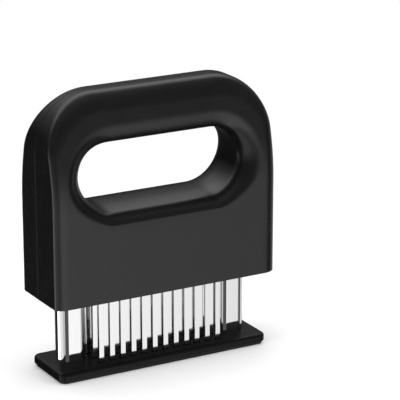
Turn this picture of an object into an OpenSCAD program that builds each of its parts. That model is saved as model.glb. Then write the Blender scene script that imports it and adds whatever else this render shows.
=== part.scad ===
// Blade meat tenderizer: a spring-loaded housing with 48 flat blades that slides
// down two flat-oval posts and drives the blades through the slots of a base plate.
// Millimetres. The base stands on z = 0, the front faces -Y, the width runs along X.

/* [Housing] */
// Width of the housing
housing_w = 145; // [120:1:200]
// Depth of the housing, front to back
housing_d = 47; // [40:1:70]
// Wall of the moulded shells
wall = 2.5; // [1.8:0.1:3.2]
// Radius of the two top corners, seen from the front
top_corner_r = 34; // [20:1:38]
// Rounding of the outer edges
edge_r = 4; // [2:0.5:5]
// Height of the upright part, from the housing's underside
upright_h = 57; // [40:1:70]
// Radius by which the faces start to lean inward
lean_r = 120; // [60:1:200]
// Angle of the leaning upper faces
lean_angle = 12.8; // [5:0.1:16]
// How far the seam of the two shells lies behind the middle
seam_shift = 1.5; // [-3:0.5:3]

/* [Hand hole] */
// Height of the hole between its lips
grip_h = 39; // [30:1:50]
// Width of each upright beside the hole
grip_side = 20.5; // [18:0.5:30]
// Height of the bar above the hole
bar_h = 27.5; // [20:0.5:40]
// Radius of the rounded lip
lip_r = 8.3; // [5:0.1:10]
// Depth of the lip, from the face inward
lip_depth = 8; // [4:0.5:9]

/* [Blades] */
// Blades in a row
blade_cols = 12; // [4:1:14]
// Width of a blade
blade_w = 3; // [2:0.1:4]
// Thickness of a blade
blade_t = 0.8; // [0.5:0.1:1.2]
// Length of the bent head that holds a blade
blade_head = 3.4; // [2:0.1:4]
// Height of the pointed tip
blade_tip = 2.2; // [1:0.1:4]
// How far the tips reach into the base plate at rest
tip_depth = 3.5; // [1:0.1:4.5]
// Space from the outer rows to the housing's face
row_margin = 11.5; // [10:0.5:16]

/* [Posts] */
// Long side of the flat-oval post tube
post_w = 18.5; // [14:0.5:24]
// Short side of the flat-oval post tube
post_d = 11.3; // [9:0.1:16]
// Wall of the post tube
post_wall = 1; // [0.6:0.1:1.5]
// Space from the housing's end to the post
post_side = 10.25; // [9:0.25:16]
// Space from the post to the nearest blade
post_gap = 3.2; // [3:0.1:8]

/* [Base] */
// How far the base plate is shorter than the housing, at each side
base_inset = 3.5; // [0:0.5:8]
// Corner radius of the base plate
base_corner_r = 5; // [3:0.5:8]
// Thickness of the base plate
plate_t = 5; // [4:0.1:8]
// Thickness of the cover under the base plate
cover_t = 1.5; // [1:0.1:3]
// How far the cover is set in from the plate's edge
cover_inset = 1.5; // [0.5:0.5:4]

/* [Motion] */
// Travel of the housing
stroke = 34; // [20:1:45]
// Space left between housing and base at full travel
land_gap = 6; // [2:1:12]
// Travel of the safety lock
lock_travel = 7; // [4:0.5:9]

/* [Inner parts] */
// Length of the guide bushes
bush_len = 12.5; // [8:0.5:20]
// Wall of the guide bushes
bush_wall = 1.2; // [0.8:0.1:1.3]
// Height of the stop collar on each post
collar_h = 3; // [2:0.5:5]
// Thickness of the housing's floor
floor_t = 3; // [2.5:0.5:5]
// Height of the blade holder above the floor
holder_h = 10; // [6:0.5:14]
// Thickness of the clamp plate over the blade heads
clamp_t = 3; // [2:0.5:5]
// Outer diameter of the return springs
spring_od = 8; // [6:0.5:9]
// Wire of the return springs
spring_wire = 1; // [0.6:0.1:1.2]
// Turns of each return spring
spring_turns = 14; // [8:1:18]

/* [Clearances] */
// Running fit of the posts in their bushes
running_fit = 0.1; // [0.05:0.05:0.3]
// Gap around parts that are laid into a pocket
fit_gap = 0.2; // [0.1:0.05:0.4]
// Gap around the blades in the base plate's slots
slot_gap = 0.3; // [0.2:0.05:0.6]
// Gap that keeps moving parts apart
safe_gap = 0.35; // [0.3:0.05:0.6]

/* [Hidden] */

$fn = 48;
OVER = 1;                 // how far a cut runs past the face it opens
SIDES = [-1, 1];
BLACK = [0.06, 0.06, 0.065];
DARK = [0.16, 0.16, 0.17];
STEEL = [0.8, 0.81, 0.83];
NYLON = [0.86, 0.86, 0.84];

// Heights, from the surface up
base_top = cover_t + plate_t;
housing_z = base_top + stroke + land_gap;
floor_lift = 0.5;
floor_z = housing_z + floor_lift;
floor_top = floor_z + floor_t;
bush_top = floor_top + bush_len;
rest_gap = 0.3;
collar_z = bush_top + rest_gap;
post_top = collar_z + collar_h;
seat_gap = 1.4;
seat_disc_t = 2.5;
seat_z = post_top + stroke + seat_gap;
seat_top = seat_z + seat_disc_t;

// Places across the width and the depth
seam_y = seam_shift;
post_x = housing_w / 2 - post_side - post_w / 2;
grip_w = housing_w - 2 * grip_side;
grip_end_x = grip_w / 2 - grip_h / 2;
col_span = 2 * (post_x - post_w / 2 - post_gap) - blade_w;
col_pitch = col_span / (blade_cols - 1);
row_count = 4;
row_pitch = (housing_d - 2 * row_margin) / (row_count - 1);

// Base
base_w = housing_w - 2 * base_inset;
base_d = housing_d - 2 * base_inset;
foot_flange_t = 1.5;
foot_flange_reach = 1.5;
foot_h = 9;
foot_top = cover_t + foot_flange_t + foot_h;
plate_edge_r = 1;
corner_screw_inset = 4.5;
cover_screw_x = base_w / 2 - corner_screw_inset;
cover_screw_y = base_d / 2 - corner_screw_inset;
cover_screw_d = 2;
cover_screw_len = 3.7;
cover_head_d = 4;
cover_head_t = 1;
post_screw_d = 3;
post_screw_len = 7;
post_head_d = 5.2;
post_head_t = 1.2;
head_recess = 0.1;        // how far flat screw heads sit inside the cover
head_clear = 0.3;         // how much wider a countersink is than its head
pilot_extra = 0.5;        // how far a pilot hole runs past its screw

// Collar
collar_side = 1.2;
collar_reach = 2.5;
rivet_d = 1.6;

// Guide bush
bush_flange_t = 2;
bush_flange_reach = 6;
bush_w = post_w + 2 * (running_fit + bush_wall);
bush_d = post_d + 2 * (running_fit + bush_wall);

// Blade holder
holder_end = 1.55;
holder_x = col_span / 2 + blade_w / 2 + holder_end;
holder_wall = 1.2;
holder_y = row_pitch * (row_count - 1) / 2 + blade_head + holder_wall;
holder_lip = 1.8;
holder_lip_t = 2.5;
blade_fit = 0.1;
holder_top = floor_top + holder_h;
clamp_z = holder_top + blade_t;
clamp_top = clamp_z + clamp_t;
clamp_screw_cols = 4;
clamp_screw_d = 2.6;
clamp_screw_len = 11;
clamp_head_d = 5;
clamp_head_t = 1.6;

// Spring seats
seat_rim = 0.7;
seat_disc_d = spring_od + 2 * seat_rim;
seat_pin_gap = 0.4;
seat_pin_d = spring_od - 2 * spring_wire - 2 * seat_pin_gap;
seat_pin_h = 8;
spring_end_gap = 0.1;

// Height of the hand hole: its wall clears the spring seats, and the collars at full travel
grip_rise = 16.3;         // least height of the hole's middle above the spring seats
seat_clear = 1;           // between the hole's wall and a spring seat
grip_wall_r = grip_h / 2 + wall;
function wall_below(x) = sqrt(pow(grip_wall_r, 2) - pow(min(grip_wall_r, max(0, x - grip_end_x)), 2));
seat_inner_x = post_x - seat_disc_d / 2 - seat_clear;
collar_inner_x = post_x - post_w / 2 - collar_side - safe_gap;
grip_z = max(seat_top + grip_rise, seat_top + wall_below(seat_inner_x),
    post_top + stroke + safe_gap + wall_below(collar_inner_x));
housing_top = grip_z + grip_h / 2 + bar_h;
lean_z = housing_z + upright_h;
corner_z = housing_top - top_corner_r;

// Shells
cavity_half = 13;
cavity_top = grip_z - grip_h / 2 - lip_depth - wall;
groove_depth = 1.2;
groove_h = 1.5;
groove_z = floor_z + (floor_t - groove_h) / 2;
groove_gap = 0.1;
floor_corner_r = 1;
boss_d = 7;
shell_screw_d = 2.9;
shell_screw_len = 16;
shell_head_d = 5.4;
shell_head_t = 2;
head_seat_y = seam_y + 7;
corner_boss_r = 24;       // from the corner's centre to the boss in it
side_boss_gap = 1;        // between a side boss and the end wall
side_boss_rise = 3;       // above the spring seats
low_boss_rise = 14;       // above the clamp plate
low_boss_cols = 3;        // column pitches from the middle
corner_boss_x = housing_w / 2 - top_corner_r + corner_boss_r * cos(45);
side_boss_x = housing_w / 2 - wall - boss_d / 2 - side_boss_gap;
SCREW_PLACES = [
    for (s = SIDES) [s * corner_boss_x, corner_z + corner_boss_r * sin(45)],
    for (s = SIDES) [s * side_boss_x, seat_top + side_boss_rise],
    for (s = SIDES) [s * low_boss_cols * col_pitch, clamp_top + low_boss_rise]];
rib_t = 2;
RIB_COLS = [-2, 0, 2];

// Safety lock, in the right end of the housing
lock_z = post_top + 1.6;  // the tongue passes just above the collar
lock_pad_l = 10;
lock_pad_h = 7;
lock_recess = 1.4;
lock_neck_l = 6;
lock_neck_h = 4;
lock_plate_l = 13;
lock_plate_h = 9;
lock_plate_t = 1.2;
lock_tongue_l = 4;
lock_tongue_h = 2;
lock_pad_sunk = 0.1;      // how far the pad lies below the housing's end face
lock_pad_lift = 0.2;      // between the pad and the floor of its recess
lock_rib_pitch = 2.5;
lock_rib_w = 1;
lock_rib_depth = 0.5;
lock_y = seam_y - lock_travel / 2;

// ---------- Helpers ----------

// How far the front and back faces have leaned in at height z
function lean_arc_end() = lean_z + lean_r * sin(lean_angle);
function lean_at(z) = z <= lean_z ? 0
    : z < lean_arc_end() ? lean_r - sqrt(pow(lean_r, 2) - pow(z - lean_z, 2))
    : lean_r * (1 - cos(lean_angle)) + (z - lean_arc_end()) * tan(lean_angle);

// How far a screw boss reaches into the wall at height z
function boss_reach(z) = housing_d / 2 - lean_at(z + boss_d / 2) - wall + OVER;

// A flat oval, long side along X, given its full sizes
module oval(w, d) {
    for (s = SIDES) translate([s * (w - d) / 2, 0]) circle(d = d);
    square([w - d, d], center = true);
}

module oval_post(w, d, z, h) translate([0, 0, z]) linear_extrude(h) oval(w, d);

// A rectangle with rounded corners, around the origin
module round_rect(w, d, r) {
    square([w - 2 * r, d], center = true);
    square([w, d - 2 * r], center = true);
    for (x = SIDES, y = SIDES) translate([x * (w / 2 - r), y * (d / 2 - r)]) circle(r = r);
}

module slab(w, d, r, z, h) translate([0, 0, z]) linear_extrude(h) round_rect(w, d, r);

// Puts its children at every blade's place in the row
module each_col() for (i = [0 : blade_cols - 1]) translate([i * col_pitch - col_span / 2, 0, 0]) children();

function row_y(row) = (row - (row_count - 1) / 2) * row_pitch;

module each_blade() for (row = [0 : row_count - 1]) translate([0, row_y(row), 0]) each_col() children();

// Turns a drawing in X and Z into a plate between two depths
module plate_xz(y0, y1) translate([0, y1, 0]) rotate([90, 0, 0]) linear_extrude(y1 - y0) children();

// Cylinder along Y between two depths
module bar_y(x, z, y0, y1, d) translate([x, y1, z]) rotate([90, 0, 0]) cylinder(d = d, h = y1 - y0);

// Screw with a round head, pointing down from z
module pan_screw(d, len, z, head_d, head_t) {
    translate([0, 0, z]) cylinder(d = head_d, h = head_t);
    translate([0, 0, z - len]) cylinder(d = d, h = len);
}

// Flat-headed screw that points up out of the cover, and the hole it sits in
module flat_screw(d, len, head_d, head_t) translate([0, 0, head_recess]) {
    cylinder(d1 = head_d, d2 = d, h = head_t);
    translate([0, 0, head_t]) cylinder(d = d, h = len - head_t);
}

module countersink(d, head_d, head_t) {
    translate([0, 0, -OVER]) cylinder(d = d + fit_gap, h = cover_t + 2 * OVER);
    cylinder(d1 = head_d + head_clear, d2 = d + fit_gap, h = head_t);
}

// Puts its children at both posts, and at the four corner screws
module each_post() for (s = SIDES) translate([s * post_x, 0, 0]) children();

module each_cover_screw() for (x = SIDES, y = SIDES)
    translate([x * cover_screw_x, y * cover_screw_y, 0]) children();

// ---------- Base: plate, cover, posts ----------

EDGE_STEP = 30;

module blade_slot(depth)
    cube([blade_w + 2 * slot_gap, blade_t + 2 * slot_gap, 2 * (depth + OVER)], center = true);

module base_plate() color(BLACK) difference() {
    union() {
        slab(base_w, base_d, base_corner_r, cover_t, plate_t - plate_edge_r);
        for (a = [EDGE_STEP : EDGE_STEP : 90]) {
            inset = plate_edge_r * (1 - cos(a - EDGE_STEP / 2));
            slab(base_w - 2 * inset, base_d - 2 * inset, base_corner_r - inset,
                base_top - plate_edge_r, plate_edge_r * sin(a));
        }
    }
    each_blade() blade_slot(base_top);
    each_post() {
        oval_post(post_w + fit_gap, post_d + fit_gap, cover_t - OVER, plate_t + 2 * OVER);
        oval_post(post_w + 2 * foot_flange_reach + fit_gap, post_d + 2 * foot_flange_reach + fit_gap,
            cover_t - OVER, foot_flange_t + OVER);
    }
    each_cover_screw() translate([0, 0, cover_t - OVER])
        cylinder(d = cover_screw_d, h = cover_screw_len + OVER - cover_t + pilot_extra);
}

module base_cover() color(DARK) difference() {
    slab(base_w - 2 * cover_inset, base_d - 2 * cover_inset, base_corner_r - cover_inset, 0, cover_t);
    each_blade() blade_slot(cover_t);
    each_cover_screw() countersink(cover_screw_d, cover_head_d, cover_head_t);
    each_post() countersink(post_screw_d, post_head_d, post_head_t);
}

module cover_screws() color(STEEL) each_cover_screw()
    flat_screw(cover_screw_d, cover_screw_len, cover_head_d, cover_head_t);

module post_screws() color(STEEL) each_post()
    flat_screw(post_screw_d, post_screw_len, post_head_d, post_head_t);

module post(side) color(STEEL) translate([side * post_x, 0, 0]) difference() {
    oval_post(post_w, post_d, cover_t + foot_flange_t, post_top - cover_t - foot_flange_t);
    oval_post(post_w - 2 * post_wall, post_d - 2 * post_wall, 0, post_top + OVER);
    bar_y(0, collar_z + collar_h / 2, -post_d, post_d, rivet_d);
}

// The foot fills the tube's lower end and hooks under the base plate
module post_foot(side) color(DARK) translate([side * post_x, 0, 0]) difference() {
    union() {
        oval_post(post_w + 2 * foot_flange_reach, post_d + 2 * foot_flange_reach, cover_t, foot_flange_t);
        oval_post(post_w - 2 * post_wall - fit_gap, post_d - 2 * post_wall - fit_gap,
            cover_t, foot_flange_t + foot_h);
    }
    translate([0, 0, cover_t - OVER])
        cylinder(d = post_screw_d, h = post_screw_len + OVER - cover_t + pilot_extra);
}

module post_collar(side) color(STEEL) translate([side * post_x, 0, 0]) difference() {
    translate([0, 0, collar_z]) linear_extrude(collar_h)
        round_rect(post_w + 2 * collar_side, post_d + 2 * collar_reach, post_d / 2);
    oval_post(post_w, post_d, collar_z - OVER, collar_h + 2 * OVER);
    bar_y(0, collar_z + collar_h / 2, -post_d, post_d, rivet_d);
}

module collar_rivets() color(STEEL)
    for (s = SIDES, f = SIDES) translate([s * post_x, 0, 0]) rotate([0, 0, f > 0 ? 0 : 180])
        bar_y(0, collar_z + collar_h / 2, post_d / 2 - post_wall, post_d / 2 + collar_reach, rivet_d);

// ---------- Return springs: one unbroken wire each ----------

curl_rings = 8;
wire_sides = 6;
spring_r = (spring_od - spring_wire) / 2;
spring_lo = foot_top + spring_end_gap + spring_wire / 2;
spring_hi = seat_z - spring_end_gap - spring_wire / 2;
ring_count = spring_turns * curl_rings;

// Middle of the wire at ring i, and the corners of the ring there
function coil_z(i) = spring_lo + (spring_hi - spring_lo) * i / ring_count;
function coil_angle(i) = 360 * i / curl_rings;
function coil_middle(i) = [spring_r * cos(coil_angle(i)), spring_r * sin(coil_angle(i)), coil_z(i)];
function ring_corner(i, k) = let (a = coil_angle(i), b = 360 * k / wire_sides, r = spring_wire / 2)
    coil_middle(i) + r * [cos(b) * cos(a), cos(b) * sin(a), sin(b)];
SPRING_POINTS = [for (i = [0 : ring_count], k = [0 : wire_sides - 1]) ring_corner(i, k)];
function at(i, k) = i * wire_sides + k % wire_sides;
SPRING_FACES = concat(
    [for (i = [0 : ring_count - 1], k = [0 : wire_sides - 1]) [at(i, k), at(i + 1, k + 1), at(i + 1, k)]],
    [for (i = [0 : ring_count - 1], k = [0 : wire_sides - 1]) [at(i, k), at(i, k + 1), at(i + 1, k + 1)]],
    [for (k = [1 : wire_sides - 2]) [at(0, 0), at(0, k + 1), at(0, k)]],
    [for (k = [1 : wire_sides - 2]) [at(ring_count, 0), at(ring_count, k), at(ring_count, k + 1)]]);

// Least gap between one turn and the next, measured on the wire's own points
turn_gap = min([for (k = [0 : wire_sides - 1], m = [0 : wire_sides - 1])
    norm(ring_corner(0, k) - ring_corner(curl_rings, m))]);
echo(spring_gap_to_itself = turn_gap);

module spring(side) color(STEEL) translate([side * post_x, 0, 0])
    polyhedron(points = SPRING_POINTS, faces = SPRING_FACES, convexity = 10);

// ---------- Housing: two shells and a floor ----------

// The solid outer form: upright below, leaning in above, rounded all over
LEAN_LEVELS = [for (i = [1 : 3]) lean_z + i / 3 * (min(lean_arc_end(), corner_z) - lean_z)];
CORNER_STEP = 10;

module edge_ball(x, z, sy) translate([x, sy * (housing_d / 2 - lean_at(z) - edge_r), z])
    sphere(r = edge_r, $fn = 20);

module housing_form() hull() for (sx = SIDES, sy = SIDES) {
    translate([sx * (housing_w / 2 - edge_r), sy * (housing_d / 2 - edge_r), housing_z]) {
        cylinder(r = edge_r - 1, h = 1, $fn = 32);
        translate([0, 0, 1]) cylinder(r = edge_r, h = upright_h - 1, $fn = 32);
    }
    for (z = LEAN_LEVELS) edge_ball(sx * (housing_w / 2 - edge_r), z, sy);
    for (a = [0 : CORNER_STEP : 90])
        edge_ball(sx * (housing_w / 2 - top_corner_r + (top_corner_r - edge_r) * cos(a)),
            corner_z + (top_corner_r - edge_r) * sin(a), sy);
}

// The hand hole with its rounded lips, as the solid that is cut away
module grip_profile() {
    y_face = housing_d / 2;
    difference() {
        translate([0, -y_face - OVER]) square([grip_h / 2 + lip_r, 2 * y_face + 2 * OVER]);
        for (s = SIDES) translate([grip_h / 2 + lip_r, s * (y_face - lip_depth)]) circle(r = lip_r);
        translate([grip_h / 2, -y_face + lip_depth]) square([lip_r + OVER, 2 * (y_face - lip_depth)]);
    }
}

module grip_cut() translate([0, 0, grip_z]) {
    for (s = SIDES) translate([s * grip_end_x, 0, 0]) rotate([90, 0, 0]) rotate_extrude() grip_profile();
    rotate([0, 90, 0]) translate([0, 0, -grip_end_x]) linear_extrude(2 * grip_end_x) {
        grip_profile();
        mirror([1, 0]) grip_profile();
    }
}

// Outline of the housing from the front, drawn in by a wall
module front_outline(inset) {
    half = housing_w / 2 - inset;
    r = top_corner_r - inset;
    for (s = SIDES) translate([s * (half - r), corner_z]) circle(r = r);
    translate([-half + r, housing_z]) square([2 * (half - r), housing_top - inset - housing_z]);
    translate([-half, housing_z]) square([2 * half, corner_z - housing_z]);
}

module grip_outline(grow) translate([0, grip_z]) oval(grip_w + 2 * grow, grip_h + 2 * grow);

// The same housing from the side, drawn in by a wall, as straight stretches
SIDE_LEVELS = concat([housing_z - OVER, lean_z], LEAN_LEVELS, [housing_top]);
module side_outline(inset) {
    front = [for (z = SIDE_LEVELS) [inset + lean_at(z) - housing_d / 2, z]];
    count = len(SIDE_LEVELS);
    back = [for (i = [1 : count]) [-front[count - i][0], front[count - i][1]]];
    polygon(concat(front, back));
}

// Hollow of the ring around the hand hole, and the deep chamber below it
module shell_cavity() {
    intersection() {
        plate_xz(-cavity_half, cavity_half) difference() {
            front_outline(wall);
            grip_outline(wall);
        }
        rotate([90, 0, 90]) linear_extrude(housing_w, center = true) side_outline(wall);
    }
    translate([-housing_w / 2 + wall, -housing_d / 2 + wall, housing_z - OVER])
        cube([housing_w - 2 * wall, housing_d - 2 * wall, cavity_top - housing_z + OVER]);
    translate([-housing_w / 2 + wall - groove_depth, -housing_d / 2 + wall - groove_depth, groove_z])
        cube([housing_w - 2 * (wall - groove_depth), housing_d - 2 * (wall - groove_depth), groove_h]);
}

// Window of the lock in the right end, open over its whole travel
module lock_window() translate([housing_w / 2, seam_y, lock_z]) {
    recess_l = lock_pad_l + lock_travel + 2 * safe_gap;
    slot_l = lock_neck_l + lock_travel + 2 * safe_gap;
    translate([-lock_recess, -recess_l / 2, -lock_pad_h / 2 - safe_gap])
        cube([lock_recess + OVER, recess_l, lock_pad_h + 2 * safe_gap]);
    translate([-wall - OVER, -slot_l / 2, -lock_neck_h / 2 - safe_gap])
        cube([wall + OVER, slot_l, lock_neck_h + 2 * safe_gap]);
}

// Everything between two depths, to split the housing at its seam
module depth_band(y0, y1) translate([-housing_w, y0, 0]) cube([2 * housing_w, y1 - y0, 2 * housing_top]);

// Ribs that hold the clamp plate down, and blocks that back the spring seats
module shell_ribs() {
    inner_y = housing_d / 2 - wall + OVER;
    for (c = RIB_COLS, f = SIDES) translate([c * col_pitch, f * (row_pitch + inner_y) / 2, clamp_top])
        translate([-rib_t / 2, -(inner_y - row_pitch) / 2, 0])
        cube([rib_t, inner_y - row_pitch, cavity_top - clamp_top + OVER]);
    for (s = SIDES) translate([s * post_x - seat_disc_d / 2, -cavity_half - OVER, seat_top])
        cube([seat_disc_d, 2 * (cavity_half + OVER), rib_t]);
}

// Both shells in one piece, before they part at the seam
module housing_body() {
    difference() {
        housing_form();
        shell_cavity();
        grip_cut();
        lock_window();
    }
    shell_ribs();
    for (p = SCREW_PLACES) bar_y(p[0], p[1], -boss_reach(p[1]), boss_reach(p[1]), boss_d);
}

module front_shell() color(BLACK) difference() {
    housing_body();
    depth_band(seam_y, housing_d);
    for (p = SCREW_PLACES)
        bar_y(p[0], p[1], head_seat_y - shell_screw_len - pilot_extra, seam_y + OVER, shell_screw_d);
}

module rear_shell() color(BLACK) difference() {
    housing_body();
    depth_band(-housing_d, seam_y);
    for (p = SCREW_PLACES) {
        bar_y(p[0], p[1], seam_y - OVER, housing_d, shell_screw_d + fit_gap);
        bar_y(p[0], p[1], head_seat_y, housing_d, shell_head_d + 2 * fit_gap);
    }
}

module shell_screws() color(STEEL) for (p = SCREW_PLACES) {
    bar_y(p[0], p[1], head_seat_y, head_seat_y + shell_head_t, shell_head_d);
    bar_y(p[0], p[1], head_seat_y - shell_screw_len, head_seat_y, shell_screw_d);
}

module housing_floor() color(BLACK) difference() {
    union() {
        slab(housing_w - 2 * (wall + fit_gap), housing_d - 2 * (wall + fit_gap),
            floor_corner_r, floor_z, floor_t);
        slab(housing_w - 2 * (wall - groove_depth + fit_gap), housing_d - 2 * (wall - groove_depth + fit_gap),
            floor_corner_r, groove_z + groove_gap, groove_h - 2 * groove_gap);
    }
    translate([0, 0, floor_z + floor_t / 2])
        cube([2 * (holder_x + fit_gap), 2 * (holder_y + fit_gap), floor_t + OVER], center = true);
    each_post() oval_post(post_w + 2 * safe_gap, post_d + 2 * safe_gap, floor_z - OVER, floor_t + 2 * OVER);
}

// Sleeve on the housing's floor in which a post runs
module guide_bush(side) color(NYLON) translate([side * post_x, 0, 0]) difference() {
    union() {
        oval_post(bush_w, bush_d, floor_top, bush_len);
        translate([0, 0, floor_top]) linear_extrude(bush_flange_t)
            square([bush_w, post_d + 2 * bush_flange_reach], center = true);
    }
    oval_post(post_w + 2 * running_fit, post_d + 2 * running_fit, floor_top - OVER, bush_len + 2 * OVER);
}

module spring_seat(side) color(NYLON) translate([side * post_x, 0, 0]) {
    translate([0, 0, seat_z]) cylinder(d = seat_disc_d, h = seat_disc_t);
    translate([0, 0, seat_z - seat_pin_h]) cylinder(d = seat_pin_d, h = seat_pin_h);
}

// ---------- Blades and their holder ----------

module each_clamp_screw() for (x = SIDES, y = SIDES)
    translate([x * clamp_screw_cols * col_pitch, y * row_pitch, 0]) children();

module blade_holder() color(DARK) difference() {
    union() {
        translate([-holder_x, -holder_y, floor_z]) cube([2 * holder_x, 2 * holder_y, holder_top - floor_z]);
        translate([-holder_x, -holder_y - holder_lip, floor_top])
            cube([2 * holder_x, 2 * (holder_y + holder_lip), holder_lip_t]);
    }
    each_blade() translate([0, 0, (floor_z + holder_top) / 2])
        cube([blade_w + blade_fit, blade_t + blade_fit, holder_top], center = true);
    each_clamp_screw() translate([0, 0, clamp_top - clamp_screw_len - pilot_extra])
        cylinder(d = clamp_screw_d, h = clamp_screw_len);
}

module blade_clamp() color(DARK) difference() {
    translate([-holder_x, -holder_y, clamp_z]) cube([2 * holder_x, 2 * holder_y, clamp_t]);
    each_clamp_screw() translate([0, 0, clamp_z - OVER])
        cylinder(d = clamp_screw_d + fit_gap, h = clamp_t + 2 * OVER);
}

module clamp_screws() color(STEEL) each_clamp_screw()
    pan_screw(clamp_screw_d, clamp_screw_len, clamp_top, clamp_head_d, clamp_head_t);

// A strip with a pointed tip below and its top bent back as a head
module blade() {
    tip_z = base_top - tip_depth;
    intersection() {
        rotate([90, 0, 90]) linear_extrude(blade_w, center = true) polygon([
            [-blade_t / 2, tip_z], [blade_t / 2, tip_z], [blade_t / 2, holder_top],
            [blade_head, holder_top], [blade_head, clamp_z], [-blade_t / 2, clamp_z]]);
        rotate([90, 0, 0]) linear_extrude(3 * blade_head, center = true) polygon([
            [0, tip_z], [blade_w / 2, tip_z + blade_tip], [blade_w / 2, clamp_z + OVER],
            [-blade_w / 2, clamp_z + OVER], [-blade_w / 2, tip_z + blade_tip]]);
    }
}

module blade_row(row) color(STEEL) translate([0, row_y(row), 0]) each_col() blade();

// ---------- Safety lock ----------

// Block between two places along X, centred on the slide
module lock_bar(x0, x1, l, h) translate([x0, -l / 2, -h / 2]) cube([x1 - x0, l, h]);

// Thumb pad, neck through the slot, plate behind the wall and tongue toward the collar
module lock_slider() color(DARK) translate([0, lock_y, lock_z]) {
    pad_x = housing_w / 2 - lock_recess + lock_pad_lift;
    pad_t = lock_recess - lock_pad_lift - lock_pad_sunk;
    plate_x = housing_w / 2 - wall - safe_gap - lock_plate_t;
    tongue_x = post_x + post_w / 2 + collar_side + safe_gap;
    difference() {
        lock_bar(pad_x, pad_x + pad_t, lock_pad_l, lock_pad_h);
        for (i = [-1 : 1]) translate([0, i * lock_rib_pitch, 0])
            lock_bar(pad_x + pad_t - lock_rib_depth, pad_x + pad_t + OVER,
                lock_rib_w, lock_pad_h - 2 * lock_rib_w);
    }
    lock_bar(plate_x, pad_x + lock_rib_depth / 2, lock_neck_l, lock_neck_h);
    lock_bar(plate_x, plate_x + lock_plate_t, lock_plate_l, lock_plate_h);
    lock_bar(tongue_x, plate_x + lock_plate_t / 2, lock_tongue_l, lock_tongue_h);
}

// ---------- Nodes ----------

base_plate();
base_cover();
cover_screws();
post(-1);  // post_left
post(1);  // post_right
post_foot(-1);  // post_foot_left
post_foot(1);  // post_foot_right
post_screws();
post_collar(-1);  // post_collar_left
post_collar(1);  // post_collar_right
collar_rivets();
spring(-1);  // spring_left
spring(1);  // spring_right
front_shell();
rear_shell();
shell_screws();
housing_floor();
guide_bush(-1);  // guide_bush_left
guide_bush(1);  // guide_bush_right
spring_seat(-1);  // spring_seat_left
spring_seat(1);  // spring_seat_right
blade_holder();
blade_clamp();
clamp_screws();
blade_row(0);  // blade_row_front
blade_row(1);  // blade_row_mid_front
blade_row(2);  // blade_row_mid_rear
blade_row(3);  // blade_row_rear
lock_slider();
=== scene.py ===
# %% [markdown]
# # A blade meat tenderizer, dressed up in Blender
# The real tenderizer is a black moulded housing with a hand hole. Pressed down, it slides
# along two steel posts and pushes 48 blades through the slots of a base plate. The CAD
# model gives every piece its place and size. Where its shape is already the real one, as
# on a blade or a post, the piece only gets a procedural finish here. Where the real one
# is softer or finer, it is modelled anew in the same place: the two shells, the base
# plate, the springs, the screws and the thumb slide.

import math

import bmesh
import bpy
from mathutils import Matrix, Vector


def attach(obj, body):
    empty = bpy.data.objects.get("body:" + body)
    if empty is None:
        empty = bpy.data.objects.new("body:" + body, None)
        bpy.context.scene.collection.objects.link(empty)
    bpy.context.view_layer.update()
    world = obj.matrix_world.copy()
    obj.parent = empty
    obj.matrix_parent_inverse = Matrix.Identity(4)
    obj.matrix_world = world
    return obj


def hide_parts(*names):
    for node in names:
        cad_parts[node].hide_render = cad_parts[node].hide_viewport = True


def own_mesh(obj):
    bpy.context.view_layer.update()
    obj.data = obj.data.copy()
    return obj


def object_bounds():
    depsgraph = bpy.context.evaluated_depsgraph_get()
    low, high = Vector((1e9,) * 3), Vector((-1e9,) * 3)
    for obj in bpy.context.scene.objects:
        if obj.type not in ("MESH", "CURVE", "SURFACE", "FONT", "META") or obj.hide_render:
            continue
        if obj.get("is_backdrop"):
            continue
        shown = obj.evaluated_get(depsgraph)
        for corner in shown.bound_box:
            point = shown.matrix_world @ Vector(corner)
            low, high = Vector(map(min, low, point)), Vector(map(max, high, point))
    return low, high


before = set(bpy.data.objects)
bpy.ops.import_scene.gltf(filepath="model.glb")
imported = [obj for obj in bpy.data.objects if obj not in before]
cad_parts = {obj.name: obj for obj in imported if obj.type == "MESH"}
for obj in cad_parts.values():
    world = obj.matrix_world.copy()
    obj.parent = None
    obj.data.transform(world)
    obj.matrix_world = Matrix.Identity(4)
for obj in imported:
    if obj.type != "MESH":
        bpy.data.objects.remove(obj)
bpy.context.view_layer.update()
MM = 0.001  # Blender works in metres here, and the sizes below are in mm

# %% [markdown]
# ## Camera
# The view was matched by fitting a camera to the straight edges of the housing and the
# base plate. A camera that stands close would make the near end look larger. Here the
# edges stay almost parallel, so it stands well back with a long lens, 30 degrees to the
# left of the front and 17 degrees above the horizon.

# %% Place the camera
CAMERA_AT = Vector((-0.5668, -1.0519, 0.4673))
CAMERA_TO = Vector((0.0332, -0.0012, 0.0912))
LENS = 192.8
bpy.ops.object.select_all(action="DESELECT")
bpy.ops.object.camera_add(location=CAMERA_AT)
camera = bpy.context.object
camera.name = "photo_camera"
camera.rotation_euler = (CAMERA_TO - CAMERA_AT).to_track_quat("-Z", "Y").to_euler()
camera.data.lens = LENS
camera.data.clip_start, camera.data.clip_end = 0.05, 20
bpy.context.scene.camera = camera
print("camera stands", round((CAMERA_TO - CAMERA_AT).length, 3), "m away")

# %% [markdown]
# ## Working on one piece at a time
# An operator acts on everything that is selected, which may be more than was meant. So
# every step starts from a clean selection with one active piece. A piece could keep the
# place and scale it was made with, but a bevel on a scaled piece comes out uneven. So they
# go into its mesh first.

# %% Start a piece, go into edit mode, finish it
def settle():
    """Object mode, with nothing selected."""
    if bpy.context.object and bpy.context.object.mode != "OBJECT":
        bpy.ops.object.mode_set(mode="OBJECT")
    bpy.ops.object.select_all(action="DESELECT")


def begin(name, primitive, **settings):
    """Adds a primitive as a new piece, selected alone."""
    settle()
    primitive(**settings)
    piece = bpy.context.object
    piece.name = piece.data.name = name
    return piece


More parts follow.
